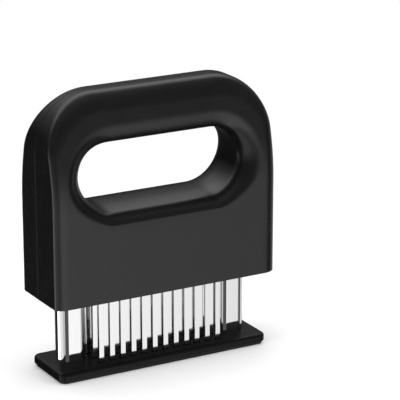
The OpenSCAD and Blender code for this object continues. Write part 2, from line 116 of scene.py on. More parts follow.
def activate(piece):
    settle()
    piece.select_set(True)
    bpy.context.view_layer.objects.active = piece


def edit(piece, mode="EDGE"):
    """Edit mode, with nothing selected."""
    activate(piece)
    bpy.ops.object.mode_set(mode="EDIT")
    bpy.ops.mesh.select_mode(type=mode)
    bpy.ops.mesh.select_all(action="DESELECT")


def place_in_mesh(piece):
    """Moves the object's place, turn and scale into its mesh."""
    activate(piece)
    bpy.ops.object.transform_apply(location=True, rotation=True, scale=True)
    return piece


def faces_of(piece):
    return f"{piece.name}: {len(piece.data.polygons)} faces"


# %% [markdown]
# ## The housing's form
# The real housing is one soft ring around the hand hole: a straight body below, a grip
# bar above, and rounded lips where the fingers go in. A block with a hole cut in it
# could have its edges bevelled, but the lip runs into a face that leans in above the
# shoulder, and bevels that wide meet badly there. A torus already has the right mesh: one
# count of segments runs around the hole, the other around the cross-section. So the torus
# is the start, and each vertex is moved to its place in the section: along the throat of
# the hole, over the lip, across the face, round the outer edge, down the narrow side, and
# back the same way behind.

# %% Sizes of the housing, in mm
WIDTH, DEPTH = 145.0, 47.0
BOTTOM, TOP = 46.5, 168.2
WALL = 1.9
SEAM = 1.5  # the joint between the shells lies a little behind the middle
HOLE_Z, HOLE_W, HOLE_H = 119.3, 104.0, 38.3
CORNER_R, EDGE_R, TOP_EDGE_R = 34.0, 4.2, 7.6
CROWN = 3.2  # the outer edge is this much wider across the face than it is deep
BELOW, LOW_CORNER_R = 34.0, 8.0  # the form is made longer below and cut off later
print("hand hole from", round(HOLE_Z - HOLE_H / 2, 2), "to", round(HOLE_Z + HOLE_H / 2, 2))

# %% How far the front and back lean in above the shoulder
LEAN_Z, LEAN_R, LEAN_ANGLE = 103.5, 120.0, math.radians(12.8)


def lean(z):
    """A bend of radius LEAN_R from LEAN_Z on, and then straight at LEAN_ANGLE."""
    end = LEAN_Z + LEAN_R * math.sin(LEAN_ANGLE)
    if z <= LEAN_Z:
        return 0.0
    if z < end:
        return LEAN_R - math.sqrt(LEAN_R**2 - (z - LEAN_Z) ** 2)
    return LEAN_R * (1 - math.cos(LEAN_ANGLE)) + (z - end) * math.tan(LEAN_ANGLE)


def reach(z):
    """Half the housing's depth at height z."""
    return DEPTH / 2 - lean(z)


print("depth at the shoulder and at the top:", 2 * reach(LEAN_Z), round(2 * reach(TOP), 2))


# %% Where a ray from the hole's middle meets the two outlines
def hole_point(angle):
    """The point on the flat-oval hole, and the outward normal there."""
    c, s = math.cos(angle), math.sin(angle)
    r, flat = HOLE_H / 2, HOLE_W / 2 - HOLE_H / 2
    if abs(c) * r <= abs(s) * flat:
        t = r / abs(s)
        return Vector((t * c, 0, HOLE_Z + t * s)), Vector((0, 0, math.copysign(1, s)))
    t = flat * abs(c) + math.sqrt(r * r - (flat * s) ** 2)
    point = Vector((t * c, 0, HOLE_Z + t * s))
    return point, (point - Vector((math.copysign(flat, c), 0, HOLE_Z))).normalized()


def outline_point(angle):
    """The same for the outline, a rectangle with rounded corners."""
    c, s = math.cos(angle), math.sin(angle)
    side = WIDTH / 2 / max(abs(c), 1e-9)
    end = (TOP - HOLE_Z if s > 0 else HOLE_Z - BELOW) / max(abs(s), 1e-9)
    t = min(side, end)
    r = CORNER_R if s > 0 else LOW_CORNER_R
    middle = Vector((math.copysign(WIDTH / 2 - r, c), 0, TOP - r if s > 0 else BELOW + r))
    x, z = t * c, HOLE_Z + t * s
    if abs(x) > abs(middle.x) and (z - middle.z) * s > 0:
        ray, off = Vector((c, 0, s)), Vector((0, 0, HOLE_Z)) - middle
        along = ray.dot(off)
        t = -along + math.sqrt(along * along - off.dot(off) + r * r)
        point = Vector((t * c, 0, HOLE_Z + t * s))
        return point, (point - middle).normalized()
    if side < end:
        return Vector((x, 0, z)), Vector((math.copysign(1, c), 0, 0))
    return Vector((x, 0, z)), Vector((0, 0, math.copysign(1, s)))


ABOVE = math.pi / 2
print("grip bar is", round((outline_point(ABOVE)[0] - hole_point(ABOVE)[0]).length, 2), "mm high")

# %% [markdown]
# ## Lip, outer edge and seam
# On the real housing the lip is tight along the hole's floor and broad at its ends and
# under the grip bar, where the fingers press. The floor itself curves down towards the
# front. The outer edge is small at the sides and large along the bar, which rests in the
# palm. A bevel could be weighted edge by edge, but it is hard to steer. Here each size
# changes smoothly with the direction of the outline's normal, so no two roundings have to
# be blended. A shallow V where the shells meet belongs to the section too, and shows as a
# fine line down the narrow sides.

# %% Sizes that change around the section, in mm
FRONT, BACK = -1, 1
FRONT_LIP = {"floor": (3.8, 8.0), "bar": (11.5, 8.0), "end": (12.2, 14.0)}  # width, depth
BACK_LIP_W = {"floor": 8.0, "bar": 11.5, "end": 12.5}
THROAT_BACK = 2.0  # the back lip starts this far behind the middle
FALL = 0.0072  # fall of the floor for each square mm of depth


def lip_size(normal, z, face):
    """Width across the face and depth into the hole of the rounded lip."""
    flat = "floor" if normal.z < 0 else "bar"
    if face == FRONT:
        there, at_end = FRONT_LIP[flat], FRONT_LIP["end"]
    else:
        deep = reach(z) - THROAT_BACK
        there, at_end = (BACK_LIP_W[flat], deep), (BACK_LIP_W["end"], deep)
    share = abs(normal.x) ** 1.5
    return [a + (b - a) * share for a, b in zip(there, at_end)]


def edge_radius(normal):
    up = max(normal.z, 0)
    return EDGE_R + (TOP_EDGE_R - EDGE_R) * up * up * (3 - 2 * up)


def at_depth(point, normal, y, face):
    """The point moved to depth y, and lower where the hole's floor falls to the front."""
    fall = FALL * max(-normal.z, 0) ** 8 * (SEAM - y) ** 2 if face == FRONT else 0
    return point + normal * fall + Vector((0, y, 0))


print("floor falls", round(FALL * (SEAM + DEPTH / 2) ** 2, 2), "mm to the front")

# %% Stations around the cross-section
LIP_STEPS, FACE_STEPS, EDGE_STEPS, SIDE_STEPS, THROAT_STEPS = 14, 8, 9, 4, 2


def stations():
    """From the seam in the throat, over the front, to the seam in the side and back."""
    half = [("throat", k / THROAT_STEPS) for k in range(1, THROAT_STEPS)]
    half += [("lip", math.pi / 2 * k / LIP_STEPS) for k in range(LIP_STEPS)]
    half += [("face", k / FACE_STEPS) for k in range(FACE_STEPS)]
    half += [("edge", math.pi / 2 * k / EDGE_STEPS) for k in range(EDGE_STEPS)]
    half += [("side", k / SIDE_STEPS) for k in range(SIDE_STEPS)]
    ring = [("throat_seam", 0, FRONT), ("throat", 0, FRONT)]
    ring += [(kind, v, FRONT) for kind, v in half]
    ring += [("side", 1, FRONT), ("side_seam", 0, FRONT), ("side", 1, BACK)]
    ring += [(kind, v, BACK) for kind, v in reversed(half)]
    ring += [("throat", 0, BACK)]
    return ring


RING = stations()
print(len(RING), "stations around the section")

# %% One vertex of the section
GROOVE_HALF, GROOVE_DEEP, THROAT_GROOVE_DEEP = 0.25, 0.3, 0.02


def lip_power(normal, face):
    """A front lip is a little flatter than a quarter ellipse, except along the floor."""
    return 1.0 if face == BACK else 1 + 0.12 * min(1, 1 + normal.z)


def section_point(hole, hole_n, outer, outer_n, kind, v, face):
    """hole and outer are where the ray meets the two outlines, with their normals."""
    width, lip_depth = lip_size(hole_n, hole.z, face)
    radius, throat = edge_radius(outer_n), reach(hole.z) - lip_depth
    near = SEAM + face * GROOVE_HALF
    if kind == "throat_seam":
        return at_depth(hole + hole_n * THROAT_GROOVE_DEEP, hole_n, SEAM, face)
    if kind == "throat":
        return at_depth(hole, hole_n, near + (face * throat - near) * v, face)
    if kind == "lip":
        power = lip_power(hole_n, face)
        p = hole + hole_n * width * (1 - math.cos(v) ** power)
        y = face * (reach(p.z) - lip_depth * (1 - math.sin(v) ** power))
        return at_depth(p, hole_n, y, face)
    if kind == "face":
        start = at_depth(hole + hole_n * width, hole_n, -DEPTH / 2, face)
        p = Vector((start.x, 0, start.z)).lerp(outer - outer_n * (radius + CROWN), v)
        return p + Vector((0, face * reach(p.z), 0))
    if kind == "edge":
        p = outer - outer_n * (radius + CROWN) * (1 - math.sin(v))
        return p + Vector((0, face * (reach(p.z) - radius * (1 - math.cos(v))), 0))
    if kind == "side_seam":
        return outer - outer_n * GROOVE_DEEP + Vector((0, SEAM, 0))
    far = face * (reach(outer.z) - radius)
    return outer + Vector((0, far + (near - far) * v, 0))


# %% Angles that spread the segments evenly between the hole and the outline
AROUND = 240


def even_angles(count, fine=7200):
    angles = [-math.pi / 2 + 2 * math.pi * k / fine for k in range(fine + 1)]
    middle = [(hole_point(a)[0] + outline_point(a)[0]) / 2 for a in angles]
    length = [0.0]
    for a, b in zip(middle, middle[1:]):
        length.append(length[-1] + (b - a).length)
    chosen, k = [], 0
    for i in range(count):
        goal = length[-1] * i / count
        while length[k + 1] < goal:
            k += 1
        share = (goal - length[k]) / (length[k + 1] - length[k])
        chosen.append(angles[k] + (angles[k + 1] - angles[k]) * share)
    return chosen


# %% Shape the torus into the housing
# Its two radii don't matter, because every vertex is moved.
housing = begin("housing_form", bpy.ops.mesh.primitive_torus_add, major_segments=AROUND,
                minor_segments=len(RING), major_radius=0.05, minor_radius=0.015,
                location=(0, 0, HOLE_Z * MM), generate_uvs=False)
place_in_mesh(housing)
for i, angle in enumerate(even_angles(AROUND)):
    ends = (*hole_point(angle), *outline_point(angle))
    for j, station in enumerate(RING):
        housing.data.vertices[i * len(RING) + j].co = section_point(*ends, *station) * MM
edit(housing, "FACE")
bpy.ops.mesh.select_all(action="SELECT")
bpy.ops.mesh.normals_make_consistent(inside=False)
settle()
print(faces_of(housing))

# %% [markdown]
# ## Two shells with a wall
# The real housing is two mouldings that are screwed together from the rear. They could be
# shaped one by one, but then their rims might not meet. So the form is copied, and each
# copy is cut off at the seam with bisect. Solidify turns the skin inwards by the wall's
# thickness, which leaves the outside as it was shaped, and a second bisect cuts the open
# bottom flat.

# %% Pick edges and faces by where they are, and apply modifiers
def pick_edges(piece, test):
    """In edit mode, selects the edges whose two ends pass test(a, b)."""
    mesh = bmesh.from_edit_mesh(piece.data)
    count = 0
    for edge in mesh.edges:
        a, b = (v.co for v in edge.verts)
        edge.select_set(bool(test(a, b)))
        count += edge.select
    bmesh.update_edit_mesh(piece.data)
    return count


def pick_faces(piece, test):
    """In edit mode, selects the faces for which test(centre, normal) is true."""
    mesh = bmesh.from_edit_mesh(piece.data)
    count = 0
    for face in mesh.faces:
        face.select_set(bool(test(face.calc_center_median(), face.normal)))
        count += face.select
    bmesh.update_edit_mesh(piece.data)
    return count


def with_modifier(piece, kind, **settings):
    """Adds a modifier, sets it and applies it."""
    activate(piece)
    bpy.ops.object.modifier_add(type=kind)
    modifier = piece.modifiers[-1]
    for key, value in settings.items():
        setattr(modifier, key, value)
    bpy.ops.object.modifier_apply(modifier=modifier.name)
    return piece


# %% Part the form at the seam and give it a wall
def cut_off(piece, at, across, **sides):
    edit(piece, "FACE")
    bpy.ops.mesh.select_all(action="SELECT")
    bpy.ops.mesh.bisect(plane_co=at, plane_no=across, threshold=1e-6, **sides)
    settle()


def part_shell(name, front):
    activate(housing)
    bpy.ops.object.duplicate()
    shell = bpy.context.object
    shell.name = shell.data.name = name
    cut_off(shell, (0, SEAM * MM, 0), (0, 1, 0), clear_inner=not front, clear_outer=front)
    with_modifier(shell, "SOLIDIFY", thickness=WALL * MM, offset=-1, use_even_offset=True)
    cut_off(shell, (0, 0, BOTTOM * MM), (0, 0, 1), clear_inner=True, use_fill=True)
    return shell


shells = {"front": part_shell("shell_front", True), "rear": part_shell("shell_rear", False)}
bpy.data.objects.remove(housing)
print([faces_of(shell) for shell in shells.values()])

# %% [markdown]
# ## Lower rim
# A mould leaves no knife edge at the open bottom, so the outer edge there is rounded by
# 0.6 mm. Only that edge is picked, because the inner one stays sharp. The flat bottom
# face then has hundreds of corners, and is split into triangles, which every other
# program reads alike.

# %% Round the lower rim
RIM_R = 0.6


def round_edges(piece, test, radius, segments):
    """In edit mode, bevels the edges whose two ends pass the test."""
    count = pick_edges(piece, test)
    bpy.ops.mesh.bevel(offset=radius * MM, segments=segments, affect="EDGES")
    return count


def on_outline(v):
    """Whether a point of the lower rim lies on the outside of the wall."""
    dx = max(abs(v.x / MM) - (WIDTH / 2 - EDGE_R - CROWN), 0) / (EDGE_R + CROWN)
    dy = max(abs(v.y / MM) - (DEPTH / 2 - EDGE_R), 0) / EDGE_R
    return abs(v.z / MM - BOTTOM) < 0.01 and math.hypot(dx, dy) > 0.97


for shell in shells.values():
    edit(shell)
    rim = round_edges(shell, lambda a, b: on_outline(a) and on_outline(b), RIM_R, 3)
    edit(shell, "FACE")
    pick_faces(shell, lambda c, n: n.z < -0.99 and abs(c.z / MM - BOTTOM) < 0.01)
    bpy.ops.mesh.quads_convert_to_tris(quad_method="BEAUTY", ngon_method="BEAUTY")
    settle()
    print(faces_of(shell), "with", rim, "edges of its lower rim rounded")

# %% [markdown]
# ## Screw bosses and holes
# Six long screws hold the real shells together. Each runs through a boss of the rear
# shell, from the floor of a deep round well, and cuts its thread in a boss of the front
# shell. Bosses could be separate rods that only touch the wall, but a moulding is one
# piece, so they are joined to it with Booleans, and the holes are cut with Booleans too.

# %% Rods along an axis, and Booleans with a tool that is used up
def rod(name, start, end, d, sides=48):
    """A cylinder along X, Y or Z between two points in mm."""
    a, b = Vector(start) * MM, Vector(end) * MM
    piece = begin(name, bpy.ops.mesh.primitive_cylinder_add, vertices=sides, radius=d / 2 * MM,
                  depth=(b - a).length, location=(a + b) / 2)
    piece.rotation_mode = "QUATERNION"
    piece.rotation_quaternion = (b - a).to_track_quat("Z", "Y")
    return place_in_mesh(piece)


def carve(piece, tool, operation="DIFFERENCE"):
    """Cuts the tool out of the piece, or adds it, and removes the tool."""
    with_modifier(piece, "BOOLEAN", operation=operation, object=tool, solver="EXACT")
    bpy.data.objects.remove(tool)
    return piece


# %% Screw bosses and holes
SCREW_PLACES = (55.47, 149.97), (65.5, 106.7), (21.3, 77.8)  # x and z on the right
SCREWS = [(side * x, z) for x, z in SCREW_PLACES for side in (-1, 1)]
BOSS_D, BOSS_INSET = 7, 1.2  # a boss ends inside the wall, this far below the face
PILOT_D, SHANK_D, WELL_D = 2.9, 3.1, 5.8
HEAD_SEAT, PILOT_REACH = SEAM + 7, 16.5
for side, shell in shells.items():
    out = FRONT if side == "front" else BACK
    for x, z in SCREWS:
        inner = out * (reach(z + BOSS_D / 2) - BOSS_INSET)
        carve(shell, rod("boss", (x, SEAM, z), (x, inner, z), BOSS_D), "UNION")
    for x, z in SCREWS:
        if side == "front":
            carve(shell, rod("pilot", (x, SEAM + 1, z), (x, HEAD_SEAT - PILOT_REACH, z), PILOT_D, 24))
        else:
            carve(shell, rod("shank_hole", (x, SEAM - 1, z), (x, HEAD_SEAT + 1, z), SHANK_D, 24))
            carve(shell, rod("head_hole", (x, HEAD_SEAT, z), (x, DEPTH, z), WELL_D))
    print(faces_of(shell))

# %% [markdown]
# ## Groove and window
# The real housing's floor is a plate of its own. Its rim sits in a groove that runs round
# inside both shells, near their lower rim. The window at the right end is a shallow recess
# for the thumb and a slot for the slide's neck. Both could be modelled into the section,
# but they don't follow the hole as the section does. So they are cut with blocks, whose
# edges are rounded first.

# %% Groove that holds the floor's rim
GROOVE_LOW, GROOVE_HIGH = (-71.4, -22.4, 47.65), (71.4, 22.4, 49.35)
GROOVE_CORNER_R = 3


def box(name, low, high):
    """A block between two corners, given in mm."""
    size = [(b - a) * MM for a, b in zip(low, high)]
    middle = [(a + b) / 2 * MM for a, b in zip(low, high)]
    piece = begin(name, bpy.ops.mesh.primitive_cube_add, size=1, location=middle)
    piece.scale = size
    return place_in_mesh(piece)


def upright(a, b):
    return abs(a.z - b.z) > 1e-4


for shell in shells.values():
    groove = box("groove", GROOVE_LOW, GROOVE_HIGH)
    edit(groove)
    round_edges(groove, upright, GROOVE_CORNER_R, 4)
    carve(shell, groove)
    print(faces_of(shell))

# %% Window of the thumb slide, through the narrow right end
LOCK_Z = 67.4
SIDE_X = WIDTH / 2
RECESS_DEEP, RECESS_HALF, RECESS_CORNER_R = 1.4, (8.85, 3.85), 1.2
SLOT_DEEP, SLOT_HALF = 5, (6.85, 2.35)


def soften(piece, angle):
    """Smooth shading, with a sharp edge wherever two faces meet at more than the angle."""
    activate(piece)
    bpy.ops.object.shade_smooth_by_angle(angle=math.radians(angle))
    return piece


def window(name, x0, x1, half):
    y, z = half
    return box(name, (x0, SEAM - y, LOCK_Z - z), (x1, SEAM + y, LOCK_Z + z))


for shell in shells.values():
    recess = window("recess", SIDE_X - RECESS_DEEP, SIDE_X + 2, RECESS_HALF)
    edit(recess)
    round_edges(recess, lambda a, b: abs(a.x - b.x) > 1e-4, RECESS_CORNER_R, 5)
    carve(shell, recess)
    carve(shell, window("slot", SIDE_X - SLOT_DEEP, SIDE_X, SLOT_HALF))
    soften(shell, 32)
    print(faces_of(shell))

# %% The shells take the place of the CAD ones
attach(shells["front"], "housing")
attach(shells["rear"], "housing")
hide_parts("front_shell")
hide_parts("rear_shell")
for shell in shells.values():
    print(shell.name, "rides on the housing")

# %% [markdown]
# ## Base plate
# The real plate is one thin moulding with 48 slots, each opened out at its top so that a
# blade finds its way in, and two sockets in which the posts stand. The slots could be cut
# first and everything rounded at once, but that bevel would catch the slots too. So the
# slab's corners and rims are rounded before anything is cut. The slots are alike, so one
# cutter is made, and two arrays spread it over the columns and rows.

# %% Slab with rounded corners and rims
PLATE_LOW, PLATE_TOP = 1.5, 6.5
PLATE_X, PLATE_Y = 69, 20  # half its width and depth
PLATE_CORNER_R, TOP_RIM_R, LOW_RIM_R = 5, 1.7, 0.9
plate = box("base_plate_moulded", (-PLATE_X, -PLATE_Y, PLATE_LOW), (PLATE_X, PLATE_Y, PLATE_TOP))
edit(plate)
round_edges(plate, upright, PLATE_CORNER_R, 12)
for height, radius in ((PLATE_TOP, TOP_RIM_R), (PLATE_LOW, LOW_RIM_R)):
    round_edges(plate, lambda a, b: all(abs(v.z - height * MM) < 1e-6 for v in (a, b)), radius, 6)
settle()
print(faces_of(plate))

# %% Slots with a lead-in
SLOT_X, SLOT_Y = 1.8, 0.7  # half sizes of a slot
LEAD_IN = (4.6 / 3.6, 2.4 / 1.4, 1)  # how much wider it is at the plate's top
LEAD_IN_FROM, LEAD_IN_RISE, CUT_PAST = 6.05, 0.45, 0.5
FIRST_SLOT = (-39.05, -12)
COLUMNS, COLUMN_PITCH, ROWS, ROW_PITCH = 12, 7.1, 4, 8

cutter = box("slot_cutter", (-SLOT_X, -SLOT_Y, 1), (SLOT_X, SLOT_Y, LEAD_IN_FROM))
for rise, grow in ((LEAD_IN_RISE, LEAD_IN), (CUT_PAST, (1, 1, 1))):
    edit(cutter, "FACE")
    top = max(v.co.z for v in cutter.data.vertices)
    pick_faces(cutter, lambda c, n: abs(c.z - top) < 1e-6)
    bpy.ops.mesh.extrude_region_move(TRANSFORM_OT_translate={"value": (0, 0, rise * MM)})
    bpy.ops.transform.resize(value=grow, center_override=(0, 0, top + rise * MM))
activate(cutter)
bpy.ops.transform.translate(value=(FIRST_SLOT[0] * MM, FIRST_SLOT[1] * MM, 0))
place_in_mesh(cutter)
for count, step in ((COLUMNS, (COLUMN_PITCH * MM, 0, 0)), (ROWS, (0, ROW_PITCH * MM, 0))):
    with_modifier(cutter, "ARRAY", count=count, use_relative_offset=False, use_constant_offset=True,
                  constant_offset_displace=step)
carve(plate, cutter)
print(faces_of(plate), "with", COLUMNS * ROWS, "slots")

# %% Sockets for the posts and pilot holes for the cover's screws
POST_X = 53.0
SOCKET, FLANGE = (18.7, 11.5), (21.7, 14.5)  # width and depth of the flat ovals
COVER_SCREW_X, COVER_SCREW_Y = 64.5, 15.5


def oval(name, x, w, d, low, high, sides=64):
    """An upright flat-oval block around (x, 0): a cylinder whose halves are drawn apart."""
    piece = rod(name, (0, 0, low), (0, 0, high), d, sides)
    for side in (-1, 1):
        edit(piece)
        pick_edges(piece, lambda a, b: a.x * side > 1e-6 and b.x * side > 1e-6)
        bpy.ops.transform.translate(value=(side * (w - d) / 2 * MM, 0, 0))
    activate(piece)
    bpy.ops.transform.translate(value=(x * MM, 0, 0))
    return place_in_mesh(piece)


for side in (-1, 1):
    carve(plate, oval("socket", side * POST_X, *SOCKET, 1, 7))
    carve(plate, oval("flange_recess", side * POST_X, *FLANGE, 1, 3))
    for end in (-1, 1):
        x, y = side * COVER_SCREW_X, end * COVER_SCREW_Y
        carve(plate, rod("pilot", (x, y, 1), (x, y, 4.4), 2, 24))
soften(plate, 30)
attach(plate, "base")
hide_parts("base_plate")
print(faces_of(plate))

# %% [markdown]
# ## Springs
# A real return spring is drawn wire wound on a mandrel, with the last turn at each end
# closed up so that it stands flat. A stack of rings would look alike from afar, but no
# wire runs through it. The Screw modifier winds a wire's section as the mandrel does:
# once closely, twelve times openly, and once closely again. The three windings are then
# merged into one wire with closed ends. The spring stands inside the post.

# %% Wind one spring
SPRING_LOW, SPRING_TOP, WIRE_D, SPRING_R = 12.1, 101.1, 1.0, 3.5
OPEN_TURNS, STEPS_PER_TURN = 12, 28
CLOSED_PITCH = 1.05 * WIRE_D


def join(name, pieces):
    activate(pieces[0])
    for piece in pieces[1:]:
        piece.select_set(True)
    bpy.ops.object.join()
    whole = bpy.context.object
    whole.name = whole.data.name = name
    return whole


def winding(name, start, pitch, turns):
    wire = begin(name, bpy.ops.mesh.primitive_circle_add, vertices=12, radius=WIRE_D / 2 * MM,
                 location=(SPRING_R * MM, 0, start * MM), rotation=(math.pi / 2, 0, 0))
    place_in_mesh(wire)
    return with_modifier(wire, "SCREW", axis="Z", angle=2 * math.pi, screw_offset=pitch * MM,
                         steps=STEPS_PER_TURN, render_steps=STEPS_PER_TURN, iterations=turns,
                         use_smooth_shade=True)


low, top = SPRING_LOW + WIRE_D / 2, SPRING_TOP - WIRE_D / 2
open_pitch = (top - low - 2 * CLOSED_PITCH) / OPEN_TURNS
spring = join("spring_coil", [
    winding("wire_low", low, CLOSED_PITCH, 1),
    winding("wire_open", low + CLOSED_PITCH, open_pitch, OPEN_TURNS),
    winding("wire_top", top - CLOSED_PITCH, CLOSED_PITCH, 1)])
print("open turns rise", round(open_pitch, 2), "mm each")

# %% Merge the windings and close the wire's ends
edit(spring, "VERT")
bpy.ops.mesh.select_all(action="SELECT")
bpy.ops.mesh.remove_doubles(threshold=0.00001)
bpy.ops.mesh.select_all(action="DESELECT")
bpy.ops.mesh.select_non_manifold(extend=False, use_wire=False, use_boundary=True, use_multi_face=False,
                                 use_non_contiguous=False, use_verts=False)
bpy.ops.mesh.fill_holes(sides=0)
bpy.ops.mesh.select_all(action="SELECT")
bpy.ops.mesh.normals_make_consistent(inside=False)
settle()
print(faces_of(spring))


# %% One spring in each post
def copy_to(name, model, at, turn=(0, 0, 0)):
    """A copy with its own mesh, turned by Euler angles and moved to a place in mm."""
    piece = model.copy()
    piece.data = model.data.copy()
    piece.name = piece.data.name = name
    bpy.context.collection.objects.link(piece)
    piece.rotation_euler, piece.location = turn, Vector(at) * MM
    return place_in_mesh(piece)


# 89 mm long at rest; the real spring is 34 mm shorter when the housing is pressed down
for side, node in ((-1, "spring_left"), (1, "spring_right")):
    piece = copy_to(node + "_coil", spring, (side * POST_X, 0, 0))
    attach(piece, "base")
    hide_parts(node)
    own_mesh(piece)
    print(faces_of(piece))
bpy.data.objects.remove(spring)

# %% [markdown]
# ## Screws
# A real screw is turned and then struck with a cross-shaped punch. A cylinder with a disc
# on it would have neither the head's curve nor a recess. Here the blank is drawn out from
# a short cone, section by section, with extrude and resize, as a lathe would leave it.
# The cross is cut with two blades that narrow downwards, so that it has the real
# recess's sloping walls. Each kind is made once, and its copies are joined into one piece.

# %% A turned blank
def turned(name, profile, sides):
    """A round solid on the Z axis, drawn out step by step along (radius, height) in mm."""
    (r0, h0), (r1, h1) = profile[:2]
    piece = begin(name, bpy.ops.mesh.primitive_cone_add, vertices=sides, radius1=r0 * MM,
                  radius2=r1 * MM, depth=(h1 - h0) * MM, location=(0, 0, (h0 + h1) / 2 * MM))
    place_in_mesh(piece)
    for (r0, h0), (r1, h1) in zip(profile[1:], profile[2:]):
        edit(piece, "FACE")
        pick_faces(piece, lambda c, n: abs(c.z - h0 * MM) < 1e-7 and math.hypot(c.x, c.y) < 1e-6)
        bpy.ops.mesh.extrude_region_move(TRANSFORM_OT_translate={"value": (0, 0, (h1 - h0) * MM)})
        bpy.ops.transform.resize(value=(r1 / r0, r1 / r0, 1), center_override=(0, 0, h1 * MM))
    settle()
    return piece


# %% The cross recess
def cross_recess(screw, size):
    """Cuts a cross into the head, whose flat top lies at height zero and faces up."""
    for turn in (0, math.pi / 2):
        blade = box("cross", (-0.5 * size, -0.14 * size, -0.45 * size), (0.5 * size, 0.14 * size, 0.5))
        edit(blade, "FACE")
        floor_z = min(v.co.z for v in blade.data.vertices)
        pick_faces(blade, lambda c, n: abs(c.z - floor_z) < 1e-6)
        bpy.ops.transform.resize(value=(0.35, 0.6, 1), center_override=(0, 0, floor_z))
        settle()
        blade.rotation_euler.z = turn
        carve(screw, place_in_mesh(blade))
    soften(screw, 35)
    return screw


# %% Two kinds of head, each with its point down and its top at height zero
def flat_head(name, d, length, head_d, head_t):
    r = d / 2
    profile = [(0.35 * r, -length), (r, -length + 0.8 * d), (r, -head_t), (head_d / 2, -0.12),
               (head_d / 2 - 0.08, 0)]
    return cross_recess(turned(name, profile, 36), 0.52 * head_d)


def pan_head(name, d, length, head_d, head_t):
    r, h = d / 2, head_d / 2
    profile = [(0.3 * r, -head_t - length), (r, -head_t - length + d), (r, -head_t), (h, -head_t),
               (h, -0.62 * head_t), (0.93 * h, -0.32 * head_t), (0.76 * h, -0.1 * head_t), (0.52 * h, 0)]
    return cross_recess(turned(name, profile, 36), 0.5 * head_d)


# %% Place the screws
LOW_HEAD_Z = 0.1  # the lower heads lie this far above the ground
PAN_HEAD_T = 2


def screw_set(name, node, body, model, places, turn):
    copies = [copy_to(f"{name}_{k}", model, at, turn) for k, at in enumerate(places)]
    piece = join(name, copies)
    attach(piece, body)
    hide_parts(node)
    bpy.data.objects.remove(model)
    return piece


down, back = (math.pi, 0, 0), (-math.pi / 2, 0, 0)
cover_places = [(x * COVER_SCREW_X, y * COVER_SCREW_Y, LOW_HEAD_Z) for x in (-1, 1) for y in (-1, 1)]
post_places = [(x * POST_X, 0, LOW_HEAD_Z) for x in (-1, 1)]
shell_places = [(x, HEAD_SEAT + PAN_HEAD_T, z) for x, z in SCREWS]
screws = [
    screw_set("screws_of_cover", "cover_screws", "base",
              flat_head("cover_screw", 2, 3.6, 4, 1), cover_places, down),
    screw_set("screws_of_posts", "post_screws", "base",
              flat_head("post_screw", 3, 6.9, 5.2, 1.2), post_places, down),
    screw_set("screws_of_shells", "shell_screws", "housing",
              pan_head("shell_screw", 2.9, 16, 5.4, PAN_HEAD_T), shell_places, back)]
print([faces_of(piece) for piece in screws])

# %% [markdown]
# ## Thumb slide of the safety lock
# The real slide is a small moulding in the window of the right end: a grooved pad for the
# thumb, a neck through the slot, a plate that holds it behind the wall, and a tongue that
# reaches the post. It could be drawn out of one block, but its four parts are plain
# steps with their own edges. So each is a block with soft edges, and Booleans make them
# one solid. The pad's grooves are cut with round rods so that their floors are round.

# %% Pad, neck, plate and tongue
LOCK_Y = -2.0
GROOVE_STEP, GROOVE_LONG, GROOVE_D = 2.5, 5, 1.1


def lock_block(name, x0, x1, long, tall, radius):
    low = (x0, LOCK_Y - long / 2, LOCK_Z - tall / 2)
    block = box(name, low, (x1, LOCK_Y + long / 2, LOCK_Z + tall / 2))
    return with_modifier(block, "BEVEL", width=radius * MM, segments=3, limit_method="NONE")


slide = lock_block("thumb_slide", 71.3, 72.4, 10, 7, 0.35)
for k in (-1, 0, 1):
    y = LOCK_Y + k * GROOVE_STEP
    ends = [(SIDE_X, y, LOCK_Z + half * GROOVE_LONG / 2) for half in (-1, 1)]
    carve(slide, rod("groove", *ends, GROOVE_D, 24))
for block in (lock_block("neck", 69.5, 71.4, 6, 4, 0.2), lock_block("plate", 68.45, 69.65, 13, 9, 0.2),
              lock_block("tongue", 63.8, 68.6, 4, 2, 0.2)):
    carve(slide, block, "UNION")
soften(slide, 35)
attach(slide, "lock")
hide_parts("lock_slider")
print(faces_of(slide))

# %% [markdown]
# ## Shader maths as plain expressions
# A finish is a small graph of nodes, and wiring it by hand hides what it says. `Value`
# wraps one output socket and turns Python's operators into Math nodes, so a roughness
# reads as 0.3 + 0.1 * grain. Every other node comes from `Graph.node`, and `Finish` is a
# graph that ends in one Principled shader.

# %% A socket that can be added, subtracted and multiplied
class Value:
    def __init__(self, graph, socket):
        self.graph, self.socket = graph, socket

    def __add__(self, other):
        return self.graph.maths("ADD", self, other)

    __radd__ = __add__

    def __mul__(self, other):
        return self.graph.maths("MULTIPLY", self, other)

    __rmul__ = __mul__

    def __sub__(self, other):
        return self.graph.maths("SUBTRACT", self, other)

    def __rsub__(self, other):
        return self.graph.maths("SUBTRACT", other, self)


